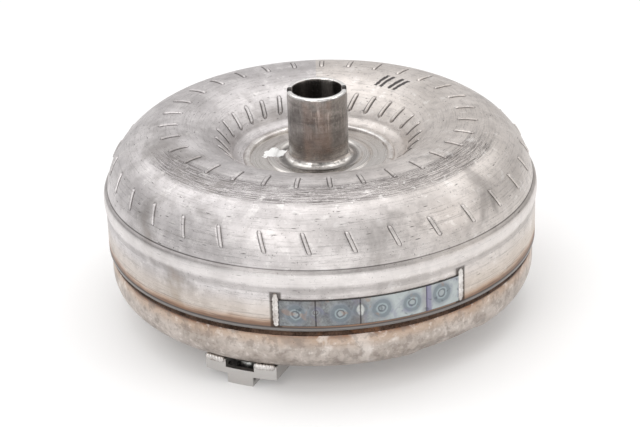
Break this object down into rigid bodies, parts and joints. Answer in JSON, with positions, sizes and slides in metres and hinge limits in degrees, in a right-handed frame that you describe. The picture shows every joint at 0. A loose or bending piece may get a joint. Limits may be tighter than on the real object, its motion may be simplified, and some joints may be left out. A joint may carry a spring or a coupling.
{
  "type": "torque converter",
  "caption": "Lock-up torque converter for an automatic gearbox: welded drum with pump hub, embossed impeller dome and drive lugs, turbine, stator and damper inside.",
  "frame": {"origin": "on the axis, in the plane of the three drive lug pads that bolt to the drive plate", "axes": "+Z along the axis from the engine side towards the pump hub and the gearbox; -Y is the side with the balance weight"},
  "size_m": [0.3046, 0.3046, 0.159],
  "materials": {
    "pressed_steel": "bare deep-drawn steel, satin, lightly scuffed",
    "cover_steel": "bare pressed steel, satin, heat-tinted by its seam",
    "ground_steel": "hardened and ground, dark, with grinding marks",
    "machined_steel": "turned steel",
    "hardened_steel": "hardened pressed plate, dark",
    "sheet_steel": "pressed sheet steel",
    "lug_steel": "forged and coined steel, mid grey",
    "weld_bead": "weld metal, rippled",
    "burnt_weld": "weld metal, heat-tinted brown",
    "tinted_steel": "steel strip, heat-tinted blue",
    "zinc_steel": "plain zinc-plated steel",
    "bearing_steel": "hardened, ground and polished",
    "spring_steel": "oil-tempered wire and strip",
    "cast_aluminium": "die-cast aluminium, as cast",
    "brass_cage": "stamped brass",
    "thrust_polymer": "moulded phenolic, matt",
    "seal_polymer": "filled PTFE, matt",
    "friction_paper": "bonded friction paper, brown"
  },
  "bodies": {
    "housing": {"impeller_shell": "pressed_steel", "impeller_hub": "ground_steel", "hub_weld": "weld_bead", "impeller_blades": "sheet_steel", "impeller_core_ring": "sheet_steel", "front_cover": "cover_steel", "closure_weld": "burnt_weld", "crankshaft_pilot": "machined_steel", "pilot_weld": "weld_bead", "drive_lug_1": "lug_steel", "drive_lug_2": "lug_steel", "drive_lug_3": "lug_steel", "lug_nuts": "zinc_steel", "lug_welds": "weld_bead", "balance_weight": "tinted_steel", "balance_weight_welds": "weld_bead", "cover_thrust_washer": "thrust_polymer", "impeller_bearing_race": "bearing_steel"},
    "turbine": {"turbine_shell": "sheet_steel", "turbine_blades": "sheet_steel", "turbine_core_ring": "sheet_steel", "turbine_hub": "machined_steel", "turbine_rivets": "zinc_steel", "driven_plate": "hardened_steel", "driven_plate_rivets": "zinc_steel", "piston_seal_ring": "seal_polymer", "turbine_bearing_race": "bearing_steel"},
    "damper": {"front_drive_plate": "hardened_steel", "rear_drive_plate": "hardened_steel", "stop_pins": "machined_steel", "damper_spring_1": "spring_steel", "damper_spring_2": "spring_steel", "damper_spring_3": "spring_steel", "damper_spring_4": "spring_steel", "damper_spring_5": "spring_steel", "damper_spring_6": "spring_steel"},
    "lockup_clutch": {"lockup_piston": "sheet_steel", "friction_lining": "friction_paper", "drive_tab_ring": "hardened_steel", "tab_ring_rivets": "zinc_steel"},
    "stator": {"stator_wheel": "cast_aluminium", "clutch_outer_race": "bearing_steel", "clutch_rollers": "bearing_steel", "clutch_springs": "spring_steel", "front_thrust_cap": "thrust_polymer", "rear_thrust_cap": "thrust_polymer", "clutch_snap_ring": "spring_steel"},
    "stator_race": {"clutch_inner_race": "bearing_steel"},
    "turbine_needles": {"turbine_bearing_needles": "bearing_steel", "turbine_bearing_cage": "brass_cage"},
    "impeller_needles": {"impeller_bearing_needles": "bearing_steel", "impeller_bearing_cage": "brass_cage"}
  },
  "joints": [
    {"name": "turbine_spin", "type": "hinge", "parent": "housing", "child": "turbine", "pos_m": [0, 0, 0.066], "axis": [0, 0, 1], "continuous": true},
    {"name": "damper_turn", "type": "hinge", "parent": "turbine", "child": "damper", "pos_m": [0, 0, 0.036], "axis": [0, 0, 1], "range_deg": [-6, 6], "stiffness_Nm_per_rad": 120, "deforming": ["damper_spring_1", "damper_spring_2", "damper_spring_3", "damper_spring_4", "damper_spring_5", "damper_spring_6"]},
    {"name": "lockup_slide", "type": "slide", "parent": "damper", "child": "lockup_clutch", "axis": [0, 0, -1], "range_m": [0, 0.0012]},
    {"name": "stator_spin", "type": "hinge", "parent": "housing", "child": "stator", "pos_m": [0, 0, 0.088], "axis": [0, 0, 1], "continuous": true},
    {"name": "stator_race_spin", "type": "hinge", "parent": "housing", "child": "stator_race", "pos_m": [0, 0, 0.0867], "axis": [0, 0, 1], "continuous": true},
    {"name": "turbine_needles_spin", "type": "hinge", "parent": "housing", "child": "turbine_needles", "pos_m": [0, 0, 0.0706], "axis": [0, 0, 1], "continuous": true},
    {"name": "impeller_needles_spin", "type": "hinge", "parent": "housing", "child": "impeller_needles", "pos_m": [0, 0, 0.1013], "axis": [0, 0, 1], "continuous": true}
  ],
  "couplings": [
    {"joint": "turbine_needles_spin", "follows": "turbine_spin", "ratio": 0.5},
    {"joint": "impeller_needles_spin", "follows": "stator_spin", "ratio": 0.5}
  ]
}
